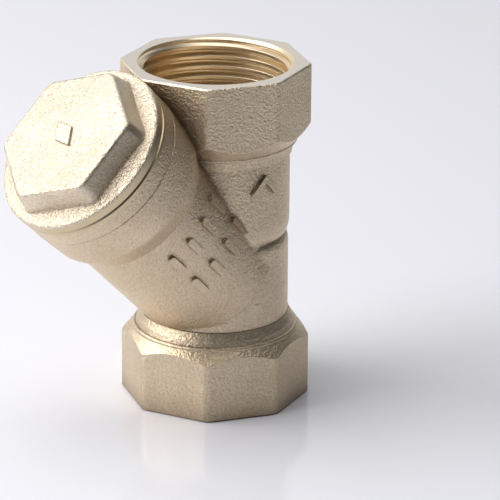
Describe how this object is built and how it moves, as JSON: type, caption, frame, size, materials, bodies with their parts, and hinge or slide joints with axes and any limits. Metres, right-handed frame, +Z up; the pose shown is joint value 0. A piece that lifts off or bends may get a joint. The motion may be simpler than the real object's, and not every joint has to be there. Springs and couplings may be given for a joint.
{
  "type": "y strainer",
  "caption": "Brass Y strainer with octagonal threaded ends, angled branch, hexagon screw cap and a removable perforated screen.",
  "frame": {"origin": "centre of the lower port's end face, on the pipe axis", "axes": "+Z up the pipe axis with the flow arrow, the branch leans 45 degrees towards -X, Y square to the plane of the two axes"},
  "size_m": [0.0579, 0.0326, 0.0627],
  "materials": {
    "cast_brass_body": "blasted cast surface with machined end faces and threads",
    "cast_brass_cap": "blasted cast surface with a machined flange edge",
    "gasket_ptfe": "smooth matt sealing ring",
    "stainless_sheet": "rolled perforated sheet",
    "stainless_mesh": "fine woven wire",
    "stainless_rim": "pressed and burnished"
  },
  "bodies": {
    "body": {"strainer_body": "cast_brass_body"},
    "screen": {"cap_gasket": "gasket_ptfe", "screen_sleeve": "stainless_sheet", "screen_mesh": "stainless_mesh", "screen_seat_rim": "stainless_rim", "screen_cap_rim": "stainless_rim"},
    "cap": {"cap": "cast_brass_cap"}
  },
  "joints": [
    {"name": "cap_travel", "type": "slide", "parent": "body", "child": "screen", "axis": [-0.7071, 0, 0.7071], "range_m": [0, 0.042]},
    {"name": "cap_turn", "type": "hinge", "parent": "screen", "child": "cap", "pos_m": [0, 0, 0.0211], "axis": [-0.7071, 0, 0.7071], "range_deg": [0, 10080]}
  ],
  "couplings": [
    {"joint": "cap_travel", "follows": "cap_turn", "m_per_rad": 0.00023873}
  ]
}
